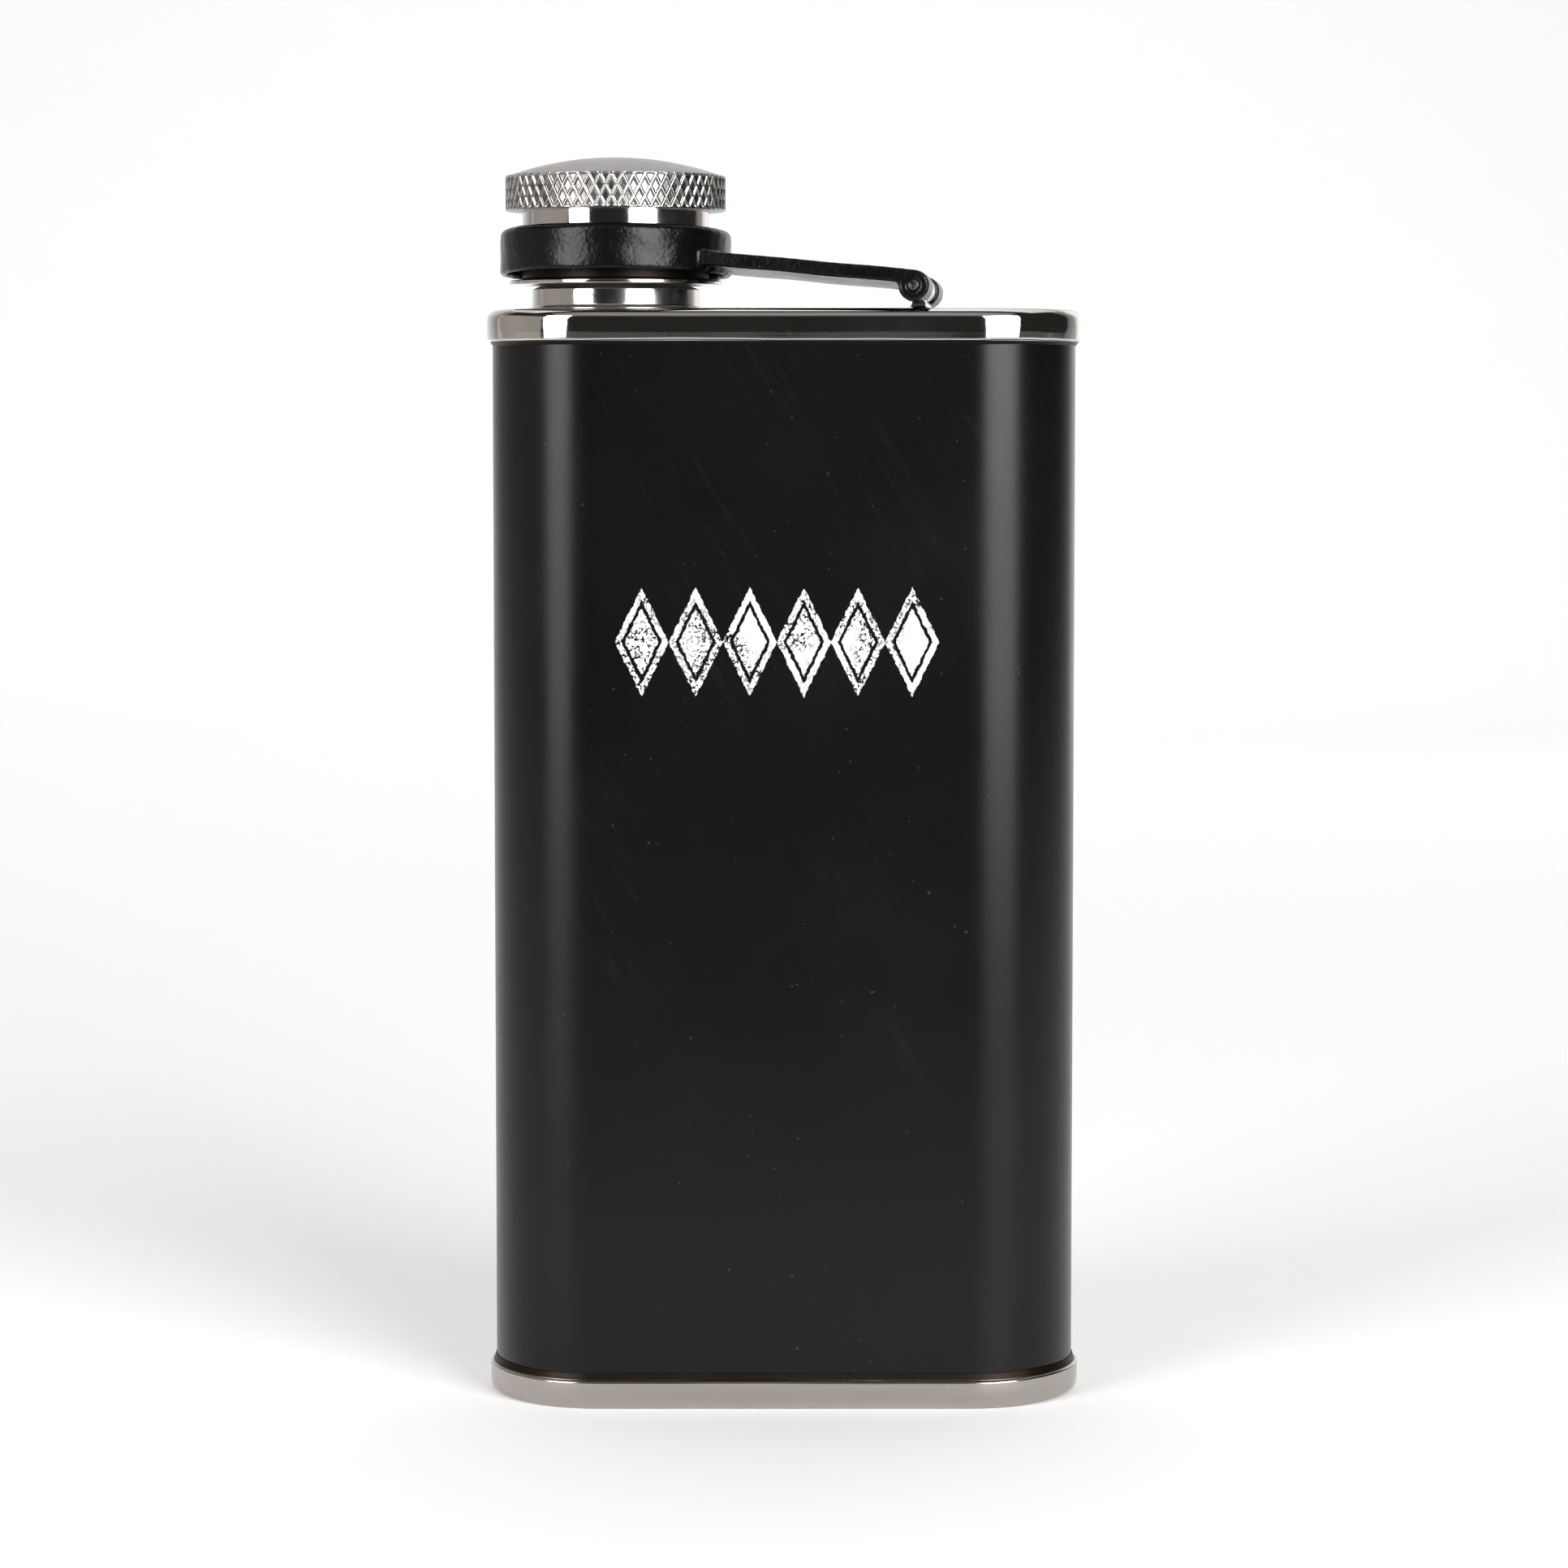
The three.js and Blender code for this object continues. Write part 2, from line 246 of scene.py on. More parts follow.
def stadium_path(half_flat, corner_steps=72, flat_steps=40):
    """Core points, outward normals and the distance round a stadium, anticlockwise from above.

    The outline at a radius is core + radius * normal: on the two ends the normal turns about a
    fixed core point, and on the two flats the core point moves and the normal stays.
    """
    half_turn = np.linspace(-math.pi / 2, math.pi / 2, corner_steps + 1)
    along = np.linspace(half_flat, -half_flat, flat_steps + 1)[1:-1]
    end = np.full(corner_steps + 1, half_flat)
    side = np.full(flat_steps - 1, math.pi / 2)
    core_x = np.concatenate([end, along, -end, -along])
    angle = np.concatenate([half_turn, side, half_turn + math.pi, side + math.pi])
    core = np.stack([core_x, np.zeros_like(core_x)], 1)
    normal = np.stack([np.cos(angle), np.sin(angle)], 1)
    distance = np.linspace(0, TURN, len(angle), endpoint=False)
    return core, normal, distance


def swept(radius, height, core, normal):
    """Points on a profile carried round a path: core + radius * normal, at the profile's height.

    radius and height are one value a row, or a grid of rows by path points.
    """
    shape = (len(radius), len(core))
    radius = np.broadcast_to(radius[:, None] if radius.ndim == 1 else radius, shape)
    height = np.broadcast_to(height[:, None] if height.ndim == 1 else height, shape)
    plan = core[None] + radius[..., None] * normal[None]
    return np.dstack([plan, height])


def grid_piece(name, points, closed=False, sharp=50):
    """One mesh object from a grid of points that is closed round its columns.

    Each cell is a quad between two rows and two columns. A closed grid joins its last row to its
    first, and rows that meet in one point or line are merged.
    """
    rows, columns = points.shape[:2]
    index = np.arange(rows * columns).reshape(rows, columns)
    upper = np.roll(index, -1, 0)
    if not closed:
        index, upper = index[:-1], upper[:-1]
    quads = np.stack([index, np.roll(index, -1, 1), np.roll(upper, -1, 1), upper], -1)
    mesh = bpy.data.meshes.new(name)
    mesh.from_pydata(points.reshape(-1, 3).tolist(), [], quads.reshape(-1, 4).tolist())
    return finished_mesh(name, mesh, sharp)


def linked(name, data):
    """A new object of the scene that shows a mesh, light or camera."""
    made = bpy.data.objects.new(name, data)
    bpy.context.scene.collection.objects.link(made)
    return made


def finished_mesh(name, mesh, sharp=50):
    """Merges doubles, turns the faces outwards and shades smoothly up to an angle."""
    work = bmesh.new()
    work.from_mesh(mesh)
    bmesh.ops.remove_doubles(work, verts=work.verts, dist=1e-7)
    bmesh.ops.dissolve_degenerate(work, edges=work.edges, dist=1e-8)
    bmesh.ops.recalc_face_normals(work, faces=work.faces)
    work.to_mesh(mesh)
    work.free()
    mesh.shade_smooth()
    mesh.set_sharp_from_angle(angle=math.radians(sharp))
    return linked(name, mesh)


def fit(piece, body, slot, material, *nodes):
    """Gives a piece its finish and the body it rides on, and hides the frame's nodes that it stands for."""
    piece.data.materials.clear()
    piece.data.materials.append(material)
    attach(piece, body)
    if nodes:
        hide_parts(*nodes)
    return piece


def place(points, matrix):
    """Points carried by a 4 by 4 matrix."""
    matrix = np.array(matrix)
    return points @ matrix[:3, :3].T + matrix[:3, 3]


def collar_matrix(sizes):
    """The collar's own frame: X along the arm, Y along the hinge, centred on the ring."""
    across = HINGE_AXIS / np.linalg.norm(HINGE_AXIS)
    along = np.cross(across, (0, 0, 1))
    along /= np.linalg.norm(along)
    up = np.cross(along, across)
    centre = HINGE - sizes.reach * along + sizes.drop * up
    matrix = np.eye(4)
    matrix[:3, :3] = np.stack([along, across, up], 1)
    matrix[:3, 3] = centre
    return matrix


def waves(angle, *terms):
    """A sum of sines, each (times round, phase, strength)."""
    return sum(strength * np.sin(times * angle + phase) for times, phase, strength in terms)


# ---- Finishes ----


def add(tree, kind, inputs=None, **settings):
    """Adds a node, sets its inputs by name or number, and links those that are sockets."""
    node = tree.nodes.new(kind)
    for key, value in settings.items():
        setattr(node, key, value)
    for key, value in (inputs or {}).items():
        if isinstance(value, bpy.types.NodeSocket):
            tree.links.new(value, node.inputs[key])
        else:
            node.inputs[key].default_value = value
    return node


def new_finish(name, colour, roughness, metallic=0.0, **sockets):
    """A material with a Principled shader, and its tree, shader and Object coordinates."""
    material = bpy.data.materials.new(name)
    material.use_nodes = True
    tree = material.node_tree
    tree.nodes.clear()
    output = tree.nodes.new("ShaderNodeOutputMaterial")
    shader = add(tree, "ShaderNodeBsdfPrincipled")
    shader.inputs["Base Color"].default_value = (*colour, 1)
    shader.inputs["Roughness"].default_value = roughness
    shader.inputs["Metallic"].default_value = metallic
    for key, value in sockets.items():
        shader.inputs[key.replace("_", " ")].default_value = value
    tree.links.new(shader.outputs["BSDF"], output.inputs["Surface"])
    where = tree.nodes.new("ShaderNodeTexCoord").outputs["Object"]
    return material, tree, shader, where


def maths(tree, operation, *values):
    node = tree.nodes.new("ShaderNodeMath")
    node.operation = operation
    for index, value in enumerate(values):
        if isinstance(value, bpy.types.NodeSocket):
            tree.links.new(value, node.inputs[index])
        else:
            node.inputs[index].default_value = value
    return node.outputs[0]


def spread(tree, value, low, high, to_low, to_high):
    """Maps a value from one range to another, held at the ends."""
    inputs = {0: value, 1: low, 2: high, 3: to_low, 4: to_high}
    return add(tree, "ShaderNodeMapRange", inputs, clamp=True).outputs[0]


def noise(tree, where, per_metre, detail=2.0, stretch=(1, 1, 1), rough=0.5):
    """Noise with a given number of features a metre, pulled out along an axis by stretch."""
    if stretch != (1, 1, 1):
        where = add(tree, "ShaderNodeMapping", {"Vector": where, "Scale": stretch}).outputs[0]
    inputs = {"Vector": where, "Scale": per_metre, "Detail": detail, "Roughness": rough}
    return add(tree, "ShaderNodeTexNoise", inputs).outputs[0]


def blend_colour(tree, factor, low, high):
    node = add(tree, "ShaderNodeMix", {0: factor}, data_type="RGBA")
    for socket, value in ((node.inputs[6], low), (node.inputs[7], high)):
        if isinstance(value, bpy.types.NodeSocket):
            tree.links.new(value, socket)
        else:
            socket.default_value = (*value, 1)
    return node.outputs[2]


def bump(tree, height, distance, strength=1.0, normal=None):
    inputs = {"Height": height, "Distance": distance, "Strength": strength}
    if normal is not None:
        inputs["Normal"] = normal
    return add(tree, "ShaderNodeBump", inputs).outputs[0]


def feed(tree, shader, **values):
    for key, value in values.items():
        tree.links.new(value, shader.inputs[key.replace("_", " ")])


def scratches(tree, where, per_metre, turn, width=0.02):
    """Thin stray lines: a stretched, turned noise cut to a narrow band."""
    turned = add(tree, "ShaderNodeMapping", {"Vector": where, "Rotation": (0, turn, 0)}).outputs[0]
    field = noise(tree, turned, per_metre, 3, (1, 1, 0.05))
    away = maths(tree, "ABSOLUTE", maths(tree, "SUBTRACT", field, 0.5))
    line = spread(tree, away, 0, width, 1, 0)
    patch = spread(tree, noise(tree, where, 55, 1), 0.5, 0.62, 0, 1)
    return maths(tree, "MULTIPLY", line, patch)


def motif(tree, where):
    """A row of worn diamonds on the front: |x| / half width + |z| / half height, repeated."""
    centre_x, centre_z = -0.8 * MM, 87 * MM
    count, half_wide, half_high = 6, 3.03 * MM, 6.1 * MM
    axes = add(tree, "ShaderNodeSeparateXYZ", {0: where}).outputs
    along = maths(tree, "SUBTRACT", axes[0], centre_x - count * half_wide)
    cell = maths(tree, "FRACT", maths(tree, "DIVIDE", along, 2 * half_wide))
    across = maths(tree, "ABSOLUTE", maths(tree, "MULTIPLY_ADD", cell, 2, -1))
    up = maths(tree, "ABSOLUTE", maths(tree, "SUBTRACT", axes[2], centre_z))
    ragged = maths(tree, "MULTIPLY_ADD", noise(tree, where, 1400, 3, rough=0.7), 0.22, -0.11)
    reach = maths(tree, "ADD", maths(tree, "DIVIDE", up, half_high), across)
    reach = maths(tree, "ADD", reach, ragged)
    core = spread(tree, reach, 0.60, 0.63, 1, 0)
    line = maths(tree, "MULTIPLY", spread(tree, reach, 0.75, 0.78, 0, 1),
                 spread(tree, reach, 0.98, 1.01, 1, 0))
    shape = maths(tree, "MAXIMUM", core, line)
    inside = maths(tree, "LESS_THAN", maths(tree, "ABSOLUTE", maths(tree, "SUBTRACT", axes[0], centre_x)),
                   count * half_wide)
    front = maths(tree, "LESS_THAN", axes[1], -11 * MM)
    flecks = spread(tree, noise(tree, where, 3200, 3, rough=0.7), 0.45, 0.5, 0, 1)
    wear = spread(tree, noise(tree, where, 170, 2), 0.48, 0.66, 0, 1)
    worn = maths(tree, "MAXIMUM", flecks, wear)
    for part in (inside, front, worn):
        shape = maths(tree, "MULTIPLY", shape, part)
    return shape


def paint_finish(look):
    """Matte black paint with a fine powder texture, faint rub marks, dust and the printed motif."""
    material, tree, shader, where = new_finish(
        "body_paint", look.paint, look.paint_gloss, Specular_IOR_Level=0.24
    )
    cloud = noise(tree, where, 60, 3)
    rub = scratches(tree, where, 220, 0.5, 0.012)
    dust = spread(tree, noise(tree, where, 1500, 1), 0.79, 0.81, 0, 1)
    print_mask = motif(tree, where)
    marked = maths(tree, "MULTIPLY", maths(tree, "MAXIMUM", maths(tree, "MULTIPLY", rub, 0.1), dust), 0.2)
    warm = blend_colour(tree, cloud, look.paint, (0.0026, 0.0023, 0.0025))
    dusty = blend_colour(tree, marked, warm, (0.12, 0.11, 0.105))
    colours = blend_colour(tree, print_mask, dusty, look.ink)
    gloss = spread(tree, cloud, 0.3, 0.7, look.paint_gloss - 0.03, look.paint_gloss + 0.03)
    gloss = maths(tree, "MULTIPLY_ADD", print_mask, 0.12, gloss)
    powder = noise(tree, where, 5200, 2)
    normal = bump(tree, powder, 0.012 * MM, 0.35)
    normal = bump(tree, print_mask, 0.02 * MM, 0.6, normal)
    feed(tree, shader, Base_Color=colours, Roughness=gloss, Normal=normal)
    return material


def steel_finish(name, tint, low, high, lines=(1, 1, 40), black=None):
    """Polished steel with cloudy gloss, hairlines along the pressing and small scratches.

    black is a range of heights where the steel is painted near black: painted shade and a painted dark
    reflection of the black tube on an end cap's lip, and painted shade on the skirt under the collar ring.
    """
    material, tree, shader, where = new_finish(name, tint, low, 1.0)
    cloud = noise(tree, where, 130, 4, rough=0.6)
    hair = noise(tree, where, 90, 4, lines, 0.7)
    marks = scratches(tree, where, 320, 0.9, 0.015)
    gloss = spread(tree, cloud, 0.35, 0.7, low, high)
    gloss = maths(tree, "MULTIPLY_ADD", marks, 0.07, gloss)
    tints = blend_colour(tree, spread(tree, hair, 0.3, 0.7, 0, 1), [v * 0.93 for v in tint], tint)
    if black:
        # Painted shade: between these heights the steel is coloured near black and made rougher.
        height = add(tree, "ShaderNodeSeparateXYZ", {0: where}).outputs[2]
        above = spread(tree, height, black[0] - 0.05 * MM, black[0] + 0.05 * MM, 0, 1)
        below = spread(tree, height, black[1] - 0.05 * MM, black[1] + 0.05 * MM, 1, 0)
        painted_shade = maths(tree, "MULTIPLY", above, below)
        tints = blend_colour(tree, painted_shade, tints, (0.016, 0.012, 0.01))
        gloss = maths(tree, "MULTIPLY_ADD", painted_shade, 0.3, gloss)
    normal = bump(tree, hair, 0.004 * MM, 0.35)
    normal = bump(tree, marks, 0.003 * MM, 0.4, normal)
    feed(tree, shader, Base_Color=tints, Roughness=gloss, Normal=normal)
    return material


def radius_from_neck(tree, where):
    """Distance from the neck's axis, in metres."""
    shifted = add(
        tree, "ShaderNodeVectorMath", {0: where, 1: (*(-NECK_AXIS[:2]), 0)}, operation="ADD"
    ).outputs[0]
    flat = add(tree, "ShaderNodeVectorMath", {0: shifted, 1: (1, 1, 0)}, operation="MULTIPLY").outputs[0]
    return add(tree, "ShaderNodeVectorMath", {0: flat}, operation="LENGTH").outputs["Value"]


def turned_finish(name, tint, low, high):
    """Turned steel: fine rings about the neck's axis over a cloudy satin."""
    material, tree, shader, where = new_finish(name, tint, low, 1.0)
    rings = add(
        tree, "ShaderNodeTexNoise",
        {"W": radius_from_neck(tree, where), "Scale": 5200.0, "Detail": 3.0},
        noise_dimensions="1D",
    ).outputs[0]
    grain = noise(tree, where, 1900, 4, rough=0.7)
    cloud = noise(tree, where, 160, 3)
    gloss = spread(tree, cloud, 0.3, 0.7, low, high)
    marks = scratches(tree, where, 260, 0.4, 0.02)
    gloss = maths(tree, "MULTIPLY_ADD", marks, 0.12, gloss)
    tints = blend_colour(tree, rings, [v * 0.86 for v in tint], tint)
    normal = bump(tree, rings, 0.004 * MM, 0.5)
    normal = bump(tree, grain, 0.012 * MM, 0.7, normal)
    feed(tree, shader, Base_Color=tints, Roughness=gloss, Normal=normal)
    return material


def knurl_finish(tint):
    """Bright knurling whose pits are painted darker as shade, from the rim's own depth attribute."""
    material, tree, shader, where = new_finish("knurled_steel", tint, 0.2, 1.0)
    depth = add(tree, "ShaderNodeAttribute", attribute_name="pit").outputs["Fac"]
    # Painted shade: the deeper a point lies in a pit, the darker its colour, in uneven patches.
    painted_pit_shade = spread(tree, depth, 0.3, 0.9, 0, 1)
    spots = spread(tree, noise(tree, where, 700, 2), 0.35, 0.7, 0.4, 1)
    tints = blend_colour(tree, maths(tree, "MULTIPLY", painted_pit_shade, spots), tint, [v * 0.22 for v in tint])
    gloss = spread(tree, depth, 0.1, 1.0, 0.12, 0.26)
    normal = bump(tree, noise(tree, where, 4200, 3, rough=0.7), 0.008 * MM, 0.5)
    feed(tree, shader, Base_Color=tints, Roughness=gloss, Normal=normal)
    return material


def enamel_finish(look):
    """Thick gloss black enamel: lumpy orange peel, small pinholes and specks of dust."""
    material, tree, shader, where = new_finish(
        "collar_enamel", look.enamel, 0.22, Specular_IOR_Level=0.24
    )
    peel = noise(tree, where, 900, 3)
    fine = noise(tree, where, 2300, 2)
    pinholes = spread(tree, noise(tree, where, 1300, 1), 0.77, 0.8, 0, 1)
    gloss = spread(tree, noise(tree, where, 200, 2), 0.3, 0.7, 0.2, 0.28)
    tints = blend_colour(tree, pinholes, look.enamel, (0.3, 0.29, 0.28))
    normal = bump(tree, peel, 0.06 * MM, 0.9)
    normal = bump(tree, fine, 0.045 * MM, 0.9, normal)
    normal = bump(tree, pinholes, 0.02 * MM, 0.6, normal)
    feed(tree, shader, Base_Color=tints, Roughness=gloss, Normal=normal)
    return material


def plastic_finish(name, tint, roughness, subsurface):
    """Moulded plastic or rubber: fine mould texture and slight cloudiness."""
    material, tree, shader, where = new_finish(name, tint, roughness, Subsurface_Weight=subsurface)
    shader.inputs["Subsurface Scale"].default_value = 0.6 * MM
    cloud = noise(tree, where, 240, 3)
    tints = blend_colour(tree, cloud, [v * 0.93 for v in tint], tint)
    gloss = spread(tree, cloud, 0.3, 0.7, roughness - 0.06, roughness + 0.06)
    normal = bump(tree, noise(tree, where, 3000, 2), 0.01 * MM, 0.4)
    feed(tree, shader, Base_Color=tints, Roughness=gloss, Normal=normal)
    return material


# ---- Pieces ----


class FlaskPiece(bpy.types.Operator):
    """Shared by the operators that make pieces."""

    bl_options = {"REGISTER", "UNDO"}

    def execute(self, context):
        scene = context.scene
        self.make(scene.flask_body, scene.flask_cap, scene.flask_collar, scene.flask_finishes)
        return {"FINISHED"}


class FLASK_OT_body_tube(FlaskPiece):
    """Makes the painted tube, open at both ends"""

    bl_idname = "flask.body_tube"
    bl_label = "Body tube"

    def make(self, body, cap, collar, look):
        outer, inner = body.tube_radius, body.tube_radius - body.tube_wall
        low, high = TUBE_LOW, TUBE_HIGH
        profile = rounded_profile(
            [(inner, low, 0), (outer, low, 0), (outer, high, 0), (inner, high, 0)], True, 6 * MM
        )
        core, normal, _ = stadium_path(body.half_flat)
        points = swept(*profile.T, core, normal)
        piece = grid_piece("painted_tube", points, closed=True)
        fit(piece, "flask", "body_paint", paint_finish(look), "body_tube")


class FLASK_OT_end_caps(FlaskPiece):
    """Makes the two drawn steel end caps, with their rolled lips and slight unevenness"""

    bl_idname = "flask.end_caps"
    bl_label = "End caps"

    def make(self, body, cap, collar, look):
        lip = body.band_height + LIP_BEND
        # The upper cap's lip under its bright face is painted near black: painted shade and a painted dark
        # reflection of the black tube.
        lips = (BASE_LOW + lip, CROWN_HIGH - lip)
        finish = steel_finish("polished_steel", look.steel, 0.035, 0.11, black=lips)
        # The lower cap's steel is a darker, browner copy of the upper cap's: painted shade and a painted warm
        # reflection, on a rougher finish.
        tint = [value * part for value, part in zip(look.steel, (0.63, 0.6, 0.57))]
        # The lower cap's lip is painted near black the same way.
        lip = body.base_lip + LIP_BEND
        worn = steel_finish("base_steel", tint, 0.1, 0.17, (1, 1, 9), (BASE_LOW + lip, BASE_HIGH))
        self.base(body, worn)
        self.crown(body, finish)

    def pan(self, body, fillet, lip):
        """Corners of a pan that stands on zero: outside up to the lip, then back down inside."""
        outer = body.band_radius
        inner = outer - body.band_sheet
        rim = BASE_HIGH - BASE_LOW - 0.2 * MM
        drawn = body.tube_radius + 0.06 * MM
        return [
            (0, 0, 0),
            (outer - 0.07 * MM, 0, fillet),
            (outer, lip / 2 + fillet / 2, 9 * MM),
            (outer - 0.06 * MM, lip + 0.1 * MM, 0.25 * MM),
            (drawn + 0.28 * MM, lip + LIP_BEND, 0.05 * MM),
            (drawn + 0.05 * MM, rim - 0.08 * MM, 0),
            (drawn, rim, 0),
            (inner, lip, 0),
            (inner, body.band_sheet, fillet - body.band_sheet),
            (0, body.band_sheet, 0),
        ]

    def pressed(self, profile, body, seed):
        """The pan carried round the section, with sines round it that grow towards the lip."""
        core, normal, around = stadium_path(body.half_flat)
        radius, height = profile.T
        depth = np.clip(radius / body.band_radius, 0, 1)[:, None] ** 8
        rise = np.clip(height / body.band_height, 0, 1)[:, None]
        ripple = waves(around, (7, seed, 0.5), (13, 2 * seed, 0.35), (23, 3 * seed, 0.2))[None]
        edge = waves(around, (5, 4 * seed, 0.6), (11, seed + 1, 0.4), (31, seed, 0.15))[None]
        radius = radius[:, None] + body.waver * depth * rise * ripple
        height = height[:, None] + 2.2 * body.waver * depth * rise ** 6 * edge
        return radius, height, core, normal

    def base(self, body, finish):
        profile = rounded_profile(self.pan(body, body.base_fillet, body.base_lip), longest=4 * MM)
        radius, height, core, normal = self.pressed(profile, body, 1.3)
        piece = grid_piece("base_cap", swept(radius, height + BASE_LOW, core, normal))
        fit(piece, "flask", "polished_steel", finish, "bottom_cap")

    def crown(self, body, finish):
        """The pan turned over, with its flat opened for the neck.

        The inner face and the outer face stop at the neck's hole: between the hole's circle and
        the flat's outline, each column runs straight.
        """
        profile = rounded_profile(self.pan(body, body.crown_fillet, body.band_height), longest=4 * MM)
        radius, height, core, normal = self.pressed(profile, body, 0.7)
        points = swept(radius, CROWN_HIGH - height, core, normal)
        wide = body.band_radius - body.crown_fillet - 0.2 * MM
        keep = profile[:, 0] > wide
        rim = points[keep]
        hole = NECK_AXIS[:2] + (body.neck_radius + 0.12 * MM) * normal_to(rim[0][:, :2], NECK_AXIS[:2])
        outside = between(hole, rim[0], CROWN_HIGH, 8)
        inside = between(hole, rim[-1], CROWN_HIGH - body.band_sheet, 8)[::-1]
        sheet = np.concatenate([outside, rim, inside])
        piece = grid_piece("crown_cap", sheet, closed=True)
        fit(piece, "flask", "polished_steel", finish, "top_cap")


def normal_to(outline, centre):
    """Unit directions from a centre to each point of an outline."""
    away = outline - centre
    return away / np.linalg.norm(away, axis=1, keepdims=True)


def between(hole, outline, height, rows):
    """Rows of a flat that runs from a hole's outline to an outer one, without the outer one."""
    part = np.linspace(0, 1, rows, endpoint=False)[:, None, None]
    plan = hole[None] * (1 - part) + outline[None, :, :2] * part
    return np.dstack([plan, np.full(plan.shape[:2], height)])


class FLASK_OT_neck(FlaskPiece):
    """Makes the threaded neck, with its inner flange and the solder round its base"""

    bl_idname = "flask.neck"
    bl_label = "Neck"

    def make(self, body, cap, collar, look):
        root, base, bore = body.thread_root, body.neck_radius, body.neck_bore
        shoulder = 126.6 * MM
        solder = CROWN_HIGH + 0.05 * MM
        flange, flange_top = base + 1.2 * MM, NECK_LOW + 0.5 * MM
        profile = rounded_profile(
            [
                (bore, NECK_LOW, 0.1 * MM),
                (flange, NECK_LOW, 0),
                (flange, flange_top, 0),
                (base, flange_top, 0),
                (base, solder, 0),
                (base + 0.45 * MM, solder, 0.05 * MM),
                (base, solder + 0.4 * MM, 0.3 * MM),
                (base, shoulder, 0.15 * MM),
                (root, shoulder + 0.5 * MM, 0.1 * MM),
                (root, NECK_HIGH, 0.25 * MM),
                (bore, NECK_HIGH, 0.1 * MM),
            ],
            closed=True,
            longest=0.08 * MM,
        )
        core, normal, angle = circle_path(144, NECK_AXIS[:2])
        radius, height = profile.T
        low, high = shoulder + 1.6 * MM, NECK_HIGH - 1.0 * MM
        ridge = thread_ridge(height, angle, body.thread_lead, low, high)
        outside = (radius > root - 0.01 * MM)[:, None]
        grown = radius[:, None] + body.thread_rise * ridge * outside
        piece = grid_piece("threaded_neck", swept(grown, height, core, normal), closed=True)
        finish = turned_finish("neck_steel", look.steel, 0.1, 0.24)
        fit(piece, "flask", "neck_steel", finish, "neck")


def thread_ridge(height, angle, lead, low, high):
    """A right-hand ridge from 0 to 1: a rounded crest where height - lead * turns is whole.

    It fades in and out over half a lead at its two ends.
    """
    phase = (height[:, None] - lead * angle[None] / TURN - low) / lead
    crest = np.clip(1.35 * np.cos(TURN * phase) - 0.1, 0, 1)
    fade = np.clip((height - low) / (0.5 * lead), 0, 1) * np.clip((high - height) / (0.5 * lead), 0, 1)
    return crest * fade[:, None]


